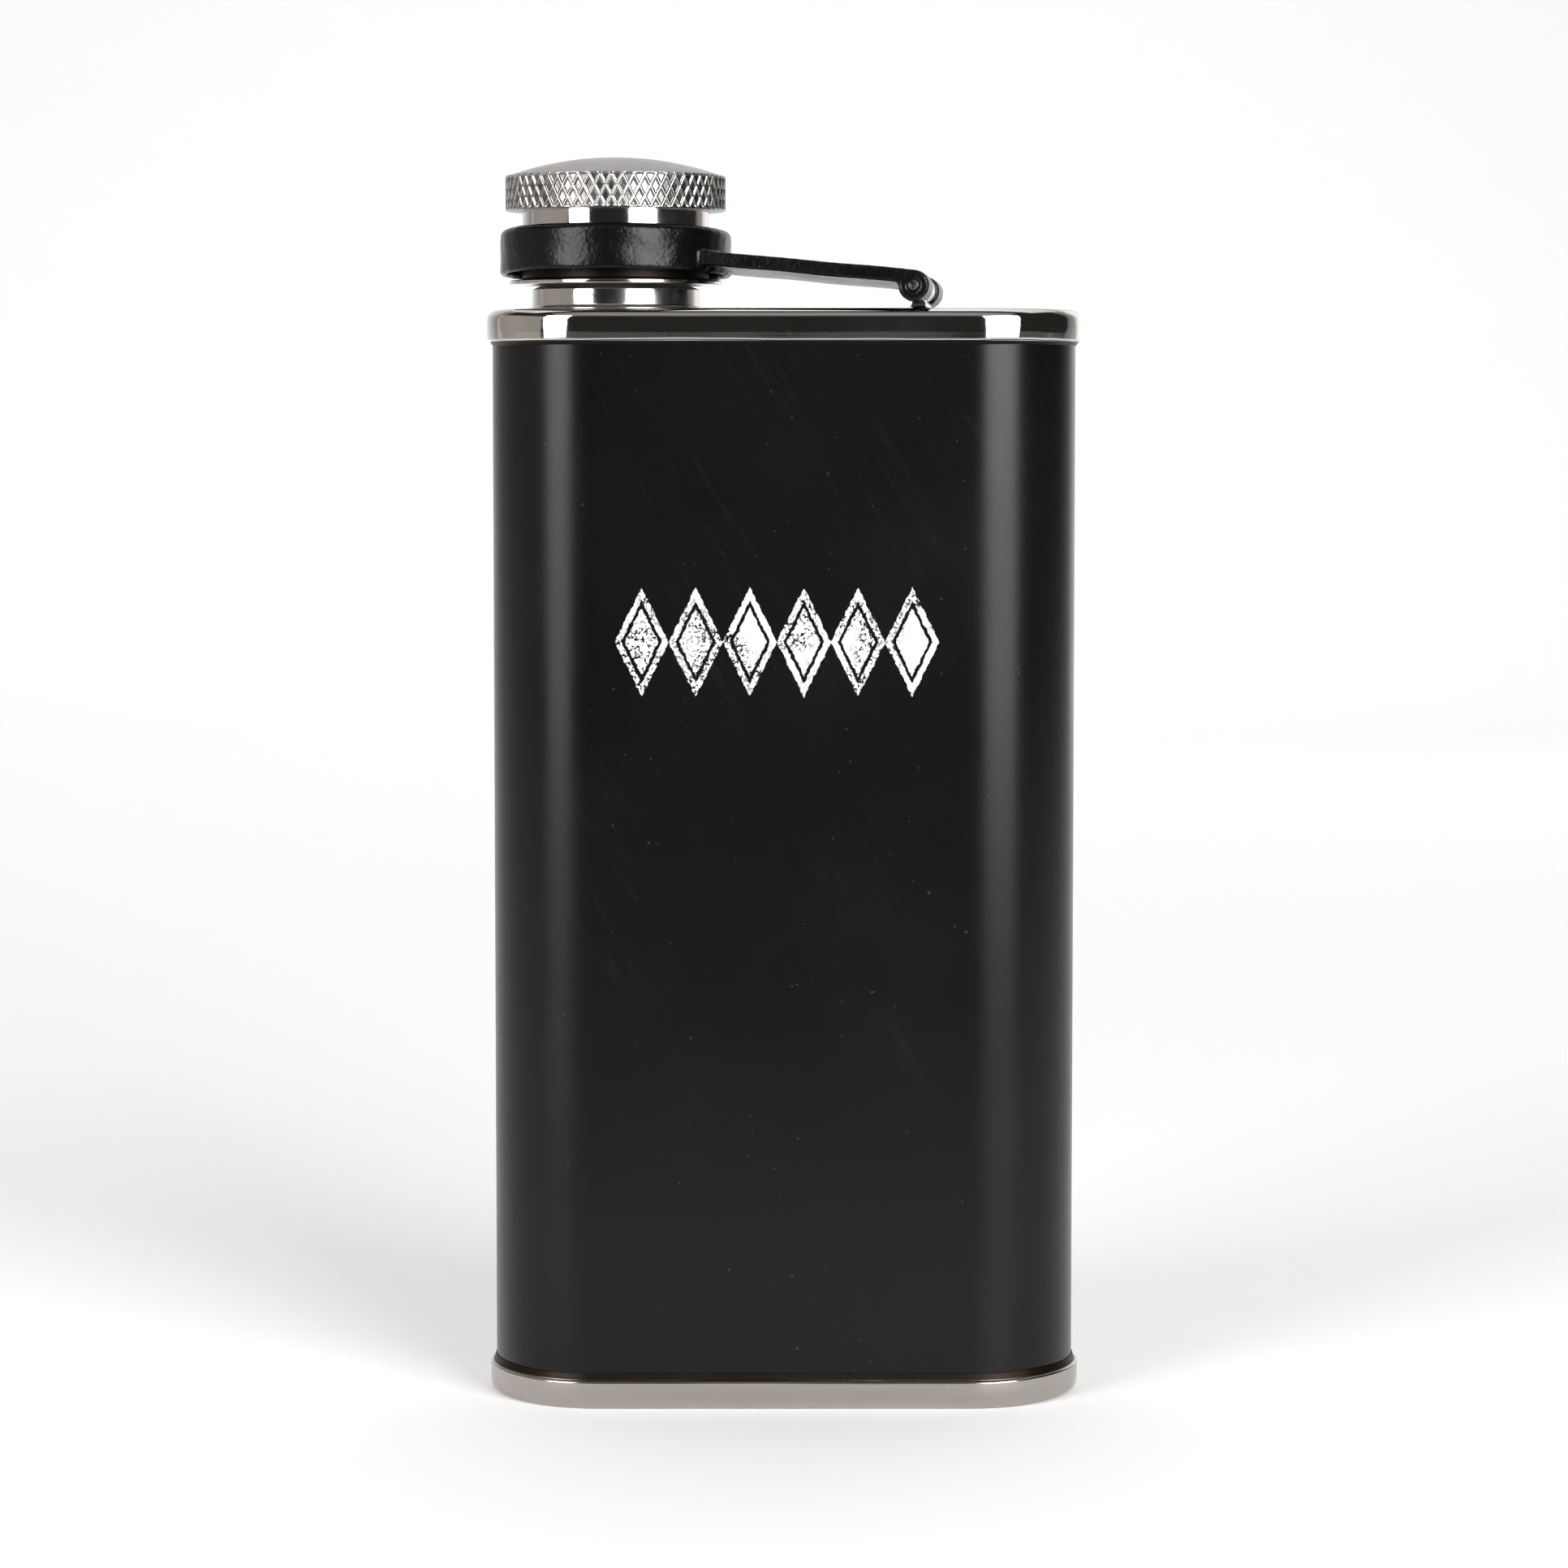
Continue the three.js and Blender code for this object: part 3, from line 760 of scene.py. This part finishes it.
class FLASK_OT_screw_cap(FlaskPiece):
    """Makes the cap's satin crown, knurled rim and polished skirt with its flared edge"""

    bl_idname = "flask.screw_cap"
    bl_label = "Screw cap"

    def make(self, body, cap, collar, look):
        self.crown(cap, look)
        self.rim(cap, look)
        self.skirt(cap, look)

    def crown(self, cap, look):
        """A spherical dome on a short edge, closed below."""
        edge = cap.crown_edge
        top = CAP_HIGH - cap.crown_rise
        curve = (edge**2 + cap.crown_rise**2) / (2 * cap.crown_rise)
        radius = np.linspace(edge, 0, 40)
        dome = CAP_HIGH - curve + np.sqrt(curve**2 - radius**2)
        base, brow = top - 0.7 * MM, top - 0.05 * MM
        below = rounded_profile([(0, base, 0), (edge, base, 0)])
        shoulder = rounded_profile([(edge, brow - 0.7 * MM, 0), (edge, brow, 0)], longest=0.2 * MM)
        profile = np.concatenate([below, shoulder[1:-1], np.stack([radius, dome], 1)])
        core, normal, _ = circle_path(180, NECK_AXIS[:2])
        piece = grid_piece("cap_crown", swept(*profile.T, core, normal), sharp=35)
        # The crown's darker satin tint is painted shade.
        finish = turned_finish("satin_steel", look.satin, 0.3, 0.42)
        fit(piece, "cap", "cap_steel", finish)

    def rim(self, cap, look):
        """A ring whose outer face is lowered by 1 - the higher of two crossing sets of ridges."""
        low = CAP_LOW + cap.rim_low
        high = CAP_HIGH - cap.crown_rise
        bevel, ledge = 0.22 * MM, high - 0.3 * MM
        outer, inner = cap.rim_radius, cap.skirt_radius + 0.05 * MM
        profile = rounded_profile(
            [
                (inner, low, 0),
                (outer, low, bevel),
                (outer, high, bevel),
                (cap.crown_edge + 0.02 * MM, high, 0.05 * MM),
                (cap.crown_edge - 0.1 * MM, ledge, 0),
                (inner, ledge, 0),
            ],
            closed=True,
            longest=np.array([2, 0.08, 2, 2, 2, 4]) * MM,
        )
        core, normal, angle = circle_path(cap.knurls * 16, NECK_AXIS[:2])
        radius, height = profile.T
        turns = cap.knurls * angle[None] / TURN
        climb = (height[:, None] - low) / cap.knurl_height
        ridge = np.maximum(peak(turns + climb), peak(turns - climb))
        edge = np.minimum(height - low, high - height) / (0.3 * MM)
        face = np.clip(edge, 0, 1) * (radius > outer - 0.05 * MM)
        pit = (1 - ridge) * face[:, None]
        points = swept(radius[:, None] - cap.knurl_depth * pit, height, core, normal)
        piece = grid_piece("cap_rim", points, closed=True, sharp=180)
        self.mark_pits(piece, outer, cap.knurl_depth)
        # The knurled rim is a darker copy of the cap's steel: painted shade that holds it below the
        # softboxes' light.
        fit(piece, "cap", "cap_steel", knurl_finish([v * 0.7 for v in look.steel]), "cap_shell")

    def mark_pits(self, piece, outer, depth):
        """Stores how deep each point lies under the rim's outer radius, from 0 to 1."""
        mesh = piece.data
        co = np.empty(len(mesh.vertices) * 3, np.float32)
        mesh.vertices.foreach_get("co", co)
        away = np.linalg.norm(co.reshape(-1, 3)[:, :2] - NECK_AXIS[:2], axis=1)
        mesh.attributes.new("pit", "FLOAT", "POINT")
        value = np.clip((outer - away) / depth, 0, 1).astype(np.float32)
        mesh.attributes["pit"].data.foreach_set("value", value)

    def skirt(self, cap, look):
        """A sleeve with a thin flare at its lower edge, let into the rim at its upper end."""
        top = CAP_LOW + cap.rim_low + 3.4 * MM
        outer, bore = cap.skirt_radius, cap.skirt_bore
        flare, sheet = cap.flare_radius, cap.flare_sheet
        profile = rounded_profile(
            [
                (bore, CAP_LOW, 0.2 * MM),
                (flare, CAP_LOW, 0.12 * MM),
                (flare, CAP_LOW + sheet, 0.16 * MM),
                (outer, CAP_LOW + sheet, 0.3 * MM),
                (outer, top, 0),
                (bore, top, 0),
            ],
            closed=True,
            longest=1 * MM,
        )
        core, normal, _ = circle_path(180, NECK_AXIS[:2])
        points = swept(*profile.T, core, normal)
        piece = grid_piece("cap_skirt", points, closed=True)
        # The skirt just over the flare is painted near black: painted shade under the collar ring.
        shaded_skirt_band = (CAP_LOW + sheet + 0.1 * MM, CAP_LOW + sheet + 2 * MM)
        finish = steel_finish("skirt_steel", look.steel, 0.05, 0.14, black=shaded_skirt_band)
        fit(piece, "cap", "cap_steel", finish)


def peak(turns):
    """Rounded ridges, 1 at whole numbers, with flat valleys between them."""
    away = np.abs(turns - np.round(turns)) * 2
    return np.clip(1.3 - 3.6 * np.sqrt(away**2 + 0.008), 0, 1)


class FLASK_OT_cap_lining(FlaskPiece):
    """Makes the moulded lining with its thread, and the soft seal, inside the cap"""

    bl_idname = "flask.cap_lining"
    bl_label = "Cap lining"

    def make(self, body, cap, collar, look):
        core, normal, angle = circle_path(144, NECK_AXIS[:2])
        outer, bore = 10.05 * MM, 9.72 * MM
        ceiling = SEAL_HIGH + 0.2 * MM
        web = ceiling + 1.8 * MM
        well, thread_rise = 8.6 * MM, 0.24 * MM
        profile = rounded_profile(
            [
                (0, ceiling, 0),
                (bore, ceiling, 0.2 * MM),
                (bore, LINING_LOW, 0.08 * MM),
                (outer, LINING_LOW, 0.08 * MM),
                (outer, LINING_HIGH, 0.1 * MM),
                (well, LINING_HIGH, 0.1 * MM),
                (well, web, 0.2 * MM),
                (0, web, 0),
            ],
            longest=0.1 * MM,
        )
        radius, height = profile.T
        low, high = LINING_LOW + 0.5 * MM, SEAL_LOW - 0.8 * MM
        ridge = thread_ridge(height, angle, body.thread_lead, low, high)
        wall = (np.abs(radius - bore) < 0.01 * MM)[:, None]
        grown = radius[:, None] - thread_rise * ridge * wall
        piece = grid_piece("cap_lining", swept(grown, height, core, normal))
        finish = plastic_finish("insert_plastic", look.lining, 0.42, 0.2)
        fit(piece, "cap", "insert_plastic", finish, "cap_insert")
        self.seal(look, core, normal)

    def seal(self, look, core, normal):
        """A flat washer with rounded edges."""
        inner, outer, fillet = 6.4 * MM, 9.25 * MM, 0.25 * MM
        profile = rounded_profile(
            [
                (inner, SEAL_LOW, fillet),
                (outer, SEAL_LOW, fillet),
                (outer, SEAL_HIGH, fillet),
                (inner, SEAL_HIGH, fillet),
            ],
            closed=True,
            longest=0.4 * MM,
        )
        points = swept(*profile.T, core, normal)
        piece = grid_piece("soft_seal", points, closed=True)
        fit(piece, "seal", "seal_rubber", plastic_finish("seal_rubber", look.rubber, 0.6, 0.1), "cap_seal")


class FLASK_OT_collar_arm(FlaskPiece):
    """Makes the cast ring, arm and ears as one enamelled skin"""

    bl_idname = "flask.collar_arm"
    bl_label = "Collar arm"

    def make(self, body, cap, collar, look):
        parts = [self.ring(collar), self.strap(collar)]
        parts += [self.tongue(collar, side) for side in (-1, 1)]
        parts += [self.ear(collar, side) for side in (-1, 1)]
        piece = cast_skin("enamelled_collar", parts, collar.grain)
        roughen(piece, 0.02 * MM)
        fit(piece, "arm", "collar_enamel", enamel_finish(look), "collar_arm")

    def ring(self, collar):
        low, high = -collar.ring_height / 2, collar.ring_height / 2
        profile = rounded_profile(
            [
                (collar.recess_radius, low, 0.1 * MM),
                (collar.ring_radius, low, 0.2 * MM),
                (collar.ring_radius, high, collar.ring_round),
                (collar.ring_bore, high, 0.4 * MM),
                (collar.ring_bore, low + collar.recess_depth, 0.15 * MM),
                (collar.recess_radius, low + collar.recess_depth, 0),
            ],
            closed=True,
            longest=1 * MM,
        )
        core, normal, _ = circle_path(240)
        points = swept(*profile.T, core, normal)
        return grid_piece("ring", place(points, collar_matrix(collar)), closed=True)

    def plate(self, collar, across, start, end):
        """A sloping plate: a rectangle of start to end by thickness, carried across the arm.

        start may change across the arm. Heights fall along the arm by its slope, and its upper
        face is tangent to the ears.
        """
        slope = math.tan(collar.arm_slope)
        start = np.broadcast_to(start, across.shape)
        along = np.stack([start, np.full_like(start, end), np.full_like(start, end), start], 1)
        line = -collar.drop + (collar.reach - along) * slope
        top = line + collar.ear_radius / math.cos(collar.arm_slope)
        thickness = collar.arm_thickness / math.cos(collar.arm_slope)
        height = top - thickness * np.array([1, 1, 0, 0])
        side = np.broadcast_to(across[:, None], along.shape)
        points = np.dstack([along, side, height])
        ends = points.mean(1, keepdims=True)
        points = np.concatenate([np.repeat(ends[:1], 4, 1), points, np.repeat(ends[-1:], 4, 1)])
        return grid_piece("plate", place(points, collar_matrix(collar)))

    def strap(self, collar):
        across = np.linspace(-0.5, 0.5, 41) * collar.arm_width
        start = np.sqrt((collar.ring_radius - 0.35 * MM) ** 2 - across**2)
        return self.plate(collar, across, start, collar.reach - collar.ear_radius - 0.4 * MM)

    def tongue(self, collar, side):
        near = collar.knuckle_length / 2 + collar.knuckle_gap
        across = side * np.linspace(near, collar.arm_width / 2, 2)
        return self.plate(collar, across, collar.reach - 4 * MM, collar.reach)

    def ear(self, collar, side):
        near = collar.knuckle_length / 2 + collar.knuckle_gap
        far = collar.arm_width / 2
        bore = collar.pin_radius + collar.pin_play
        profile = rounded_profile(
            [
                (bore, near, 0),
                (collar.ear_radius, near, 0.1 * MM),
                (collar.ear_radius, far, 0.2 * MM),
                (bore, far, 0.12 * MM),
            ],
            closed=True,
        )
        core, normal, _ = circle_path(96)
        points = swept(*profile.T, core, normal)
        return grid_piece("ear", place(along_hinge(points, collar, side), collar_matrix(collar)), closed=True)


def along_hinge(points, collar, side=1):
    """Turns points made about Z so that they lie about the hinge, in the collar's frame."""
    x, y, z = np.moveaxis(points, -1, 0)
    return np.stack([collar.reach + x, side * z, y - collar.drop], -1)


def cast_skin(name, parts, grain):
    """One closed skin round overlapping solids: a voxel remesh, then a light smoothing."""
    work = bmesh.new()
    for part in parts:
        work.from_mesh(part.data)
        bpy.data.objects.remove(part)
    mesh = bpy.data.meshes.new(name)
    work.to_mesh(mesh)
    work.free()
    piece = linked(name, mesh)
    remesh = piece.modifiers.new("skin", "REMESH")
    remesh.mode = "VOXEL"
    remesh.voxel_size = grain
    smooth = piece.modifiers.new("smooth", "SMOOTH")
    smooth.factor = 0.5
    smooth.iterations = 14
    graph = bpy.context.evaluated_depsgraph_get()
    skin = bpy.data.meshes.new_from_object(piece.evaluated_get(graph))
    piece.modifiers.clear()
    piece.data = skin
    skin.shade_smooth()
    return piece


def roughen(piece, rise):
    """Moves each point along its normal by a sum of sines of its place: lumps in thick enamel."""
    mesh = piece.data
    co = np.empty(len(mesh.vertices) * 3, np.float32)
    normal = np.empty_like(co)
    mesh.vertices.foreach_get("co", co)
    mesh.vertex_normals.foreach_get("vector", normal)
    co, normal = co.reshape(-1, 3), normal.reshape(-1, 3)
    x, y, z = (co / MM).T
    lump = np.sin(0.9 * x + 1.7 * y) * np.sin(1.3 * y - 1.1 * z + 2) + np.sin(1.9 * z + 0.7 * x)
    co += normal * (rise * lump)[:, None]
    mesh.vertices.foreach_set("co", co.ravel())
    mesh.update()


class FLASK_OT_hinge(FlaskPiece):
    """Makes the knuckle on its foot, and the pin"""

    bl_idname = "flask.hinge"
    bl_label = "Hinge"

    def make(self, body, cap, collar, look):
        self.knuckle(collar, look)
        self.pin(collar, look)

    def knuckle(self, collar, look):
        """A section of stem and barrel about the hinge, with the pin's bore, carried along Y.

        At each angle the outside is the farthest of the barrel's circle, the stem and the foot,
        and the foot's rectangle is cut flat just over the crown.
        """
        radius = collar.knuckle_radius
        bore = collar.pin_radius + collar.pin_play
        stem_half_width, foot_half_width, foot_height = 0.6 * MM, 0.95 * MM, 0.45 * MM
        matrix = collar_matrix(collar)
        floor = HINGE[2] - CROWN_HIGH - 0.08 * MM
        angle = np.linspace(0, TURN, 160, endpoint=False)
        cos, sin = np.cos(angle), np.sin(angle)
        down = np.maximum(-sin, 1e-6)
        stem = box_reach(cos, down, stem_half_width, floor)
        foot = box_reach(cos, down, foot_half_width, floor)
        foot = np.where(down * foot > floor - foot_height, foot, 0)
        outer = np.maximum(radius, np.where(sin < 0, np.maximum(stem, foot), 0))
        half = collar.knuckle_length / 2
        edge = 0.18 * MM
        turn = np.linspace(0, math.pi / 2, 5)
        inset = np.concatenate([edge * (1 - np.sin(turn)), edge * (1 - np.cos(turn))])
        along = np.concatenate([-half + edge * (1 - np.cos(turn)), half - edge * (1 - np.sin(turn))])
        rings = [(np.full_like(outer, bore), -half)]
        rings += [(outer - gap, at) for gap, at in zip(inset, along)]
        rings += [(np.full_like(outer, bore), half)]
        points = np.array([
            np.stack([collar.reach + r * cos, np.full_like(r, at), r * sin - collar.drop], 1)
            for r, at in rings
        ])
        piece = grid_piece("hinge_knuckle", place(points, matrix), closed=True, sharp=40)
        finish = steel_finish("bracket_steel", look.steel, 0.06, 0.16)
        fit(piece, "flask", "polished_steel", finish, "hinge_bracket")

    def pin(self, collar, look):
        """A rod about the hinge with a dimple in each end."""
        half, dimple, floor, mouth = collar.pin_length / 2, 0.5 * MM, 0.28 * MM, 0.34 * MM
        profile = rounded_profile(
            [
                (0, -half + dimple, 0),
                (floor, -half + dimple, 0.05 * MM),
                (mouth, -half, 0.05 * MM),
                (collar.pin_radius, -half, 0.1 * MM),
                (collar.pin_radius, half, 0.1 * MM),
                (mouth, half, 0.05 * MM),
                (floor, half - dimple, 0.05 * MM),
                (0, half - dimple, 0),
            ],
            longest=1 * MM,
        )
        core, normal, _ = circle_path(48)
        points = along_hinge(swept(*profile.T, core, normal), collar)
        piece = grid_piece("pin", place(points, collar_matrix(collar)))
        finish = steel_finish("pin_steel", [v * 0.2 for v in look.steel], 0.25, 0.4)
        fit(piece, "arm", "pin_steel", finish, "hinge_pin")


def box_reach(cos, down, half_width, depth):
    """How far a ray from the hinge goes inside a box that is half_width wide and depth deep."""
    return np.minimum(half_width / np.maximum(np.abs(cos), 1e-6), depth / down)


# ---- Stage ----


def sheet_light(name, place_at, look_at, width, height, strength, spread_angle=180, tint=(1, 1, 1)):
    """A rectangular light of a given radiance straight ahead, facing a point.

    A narrow spread gathers the same power in a cone, so the power is cut by 1 - half / tan(half).
    """
    half = math.radians(spread_angle) / 2
    gathered = 1 - half / math.tan(half) if spread_angle < 179 else 1
    data = bpy.data.lights.new(name, "AREA")
    data.shape = "RECTANGLE"
    data.size, data.size_y = width, height
    data.energy = strength * math.pi * width * height * gathered
    data.color = tint
    data.spread = math.radians(spread_angle)
    lamp = linked(name, data)
    lamp.location = place_at
    lamp.visible_camera = False
    lamp.rotation_euler = (Vector(look_at) - Vector(place_at)).to_track_quat("-Z", "Y").to_euler()


def around(azimuth, distance, height):
    """A place round the flask: azimuth 0 is in front of it and 90 to its right."""
    angle = math.radians(azimuth)
    return (distance * math.sin(angle), -distance * math.cos(angle), height)


class FLASK_OT_stage(bpy.types.Operator):
    """Makes the pale floor, the backdrop, the soft lights and the camera"""

    bl_idname = "flask.stage"
    bl_label = "Stage"

    def execute(self, context):
        self.floor()
        self.lights()
        self.camera(context.scene)
        return {"FINISHED"}

    def floor(self):
        """A floor that bends up into a wall behind, swept along X, painted dark in front of the flask as
        shade.
        """
        front = np.array([(-1.6, 0)])
        bend = np.linspace(-math.pi / 2, 0, 16)
        curve = np.stack([1.0 + 0.5 * np.cos(bend), 0.5 + 0.5 * np.sin(bend)], 1)
        wall = np.array([(1.5, 2.2)])
        side = np.concatenate([front, curve, wall])
        across = np.array([-2.5, 2.5])
        points = np.stack(
            [
                np.broadcast_to(across[None], (len(side), 2)),
                np.broadcast_to(side[:, :1], (len(side), 2)),
                np.broadcast_to(side[:, 1:] - 0.05 * MM, (len(side), 2)),
            ],
            -1,
        )
        index = np.arange(len(side) * 2).reshape(-1, 2)
        quads = np.stack([index[:-1, 0], index[:-1, 1], index[1:, 1], index[1:, 0]], 1)
        mesh = bpy.data.meshes.new("studio_floor")
        mesh.from_pydata(points.reshape(-1, 3).tolist(), [], quads.tolist())
        mesh.shade_smooth()
        stage = linked("studio_floor", mesh)
        material, tree, shader, where = new_finish("studio_paper", (0.9, 0.9, 0.9), 0.9)
        # Painted shade: the floor darkens towards the camera in front of the flask, so the tube's front
        # reflects a dark floor.
        ahead = add(tree, "ShaderNodeSeparateXYZ", {0: where}).outputs[1]
        shade = spread(tree, ahead, -0.3, -0.085, 0, 1)
        colours = blend_colour(tree, shade, (0.08, 0.08, 0.08), (0.9, 0.9, 0.9))
        feed(tree, shader, Base_Color=colours)
        shader.inputs["Emission Color"].default_value = (1, 1, 1, 1)
        shader.inputs["Emission Strength"].default_value = 0.1
        mesh.materials.append(material)

    def lights(self):
        target = (0, 0, 0.1)
        warm = (1, 0.93, 0.86)
        sheet_light("left_softbox", around(-44, 0.95, 0.36), target, 0.44, 0.72, 10, 100, (1, 0.985, 1))
        sheet_light("right_softbox", around(35, 0.95, 0.35), target, 0.62, 0.72, 12, 100)
        sheet_light("left_reflector", around(-92, 0.95, 0.25), target, 1.2, 0.7, 0.42, 150, warm)
        sheet_light("right_reflector", around(150, 0.95, 0.25), target, 0.4, 0.7, 0.5, 150, warm)
        sheet_light("top_sheet", (0, 0.65, 1.25), (0, 0.55, 0), 2.0, 1.2, 1.6, 120)
        sheet_light("front_ceiling", (0, -0.61, 0.93), target, 1.5, 0.75, 0.35, 150)
        sheet_light("wall_wash", (0, 0.7, 1.5), (0, 1.5, 0.5), 2.6, 0.4, 5, 120)
        world = bpy.data.worlds.new("studio_world")
        world.use_nodes = True
        world.node_tree.nodes["Background"].inputs[0].default_value = (0.026, 0.024, 0.022, 1)
        bpy.context.scene.world = world

    def camera(self, scene):
        data = bpy.data.cameras.new("camera")
        data.lens = 98.7
        data.sensor_width = 36
        data.shift_y = -0.06
        eye = linked("camera", data)
        eye.location = (0, -0.493, 0.1139)
        eye.rotation_euler = (math.radians(90 - 3.84), 0, 0)
        scene.camera = eye
        scene.view_settings.view_transform = "Standard"


# ---- Panel and registration ----

STEPS = [
    FLASK_OT_stage,
    FLASK_OT_body_tube,
    FLASK_OT_end_caps,
    FLASK_OT_neck,
    FLASK_OT_screw_cap,
    FLASK_OT_cap_lining,
    FLASK_OT_collar_arm,
    FLASK_OT_hinge,
]


class FLASK_PT_panel(bpy.types.Panel):
    """Lists the steps and the sizes"""

    bl_idname = "FLASK_PT_panel"
    bl_label = "Flask"
    bl_space_type = "VIEW_3D"
    bl_region_type = "UI"
    bl_category = "Flask"

    def draw(self, context):
        for step in STEPS:
            self.layout.operator(step.bl_idname)
        for group, kind in GROUPS.items():
            box = self.layout.box()
            for field in kind.__annotations__:
                box.prop(getattr(context.scene, group), field)


def register():
    for kind in [*GROUPS.values(), *STEPS, FLASK_PT_panel]:
        bpy.utils.register_class(kind)
    for name, kind in GROUPS.items():
        setattr(bpy.types.Scene, name, PointerProperty(type=kind))


def unregister():
    for name in GROUPS:
        delattr(bpy.types.Scene, name)
    for kind in reversed([*GROUPS.values(), *STEPS, FLASK_PT_panel]):
        bpy.utils.unregister_class(kind)


def main():
    """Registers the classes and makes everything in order."""
    register()
    for step in STEPS:
        module, name = step.bl_idname.split(".")
        getattr(getattr(bpy.ops, module), name)()


if __name__ == "__main__":
    main()
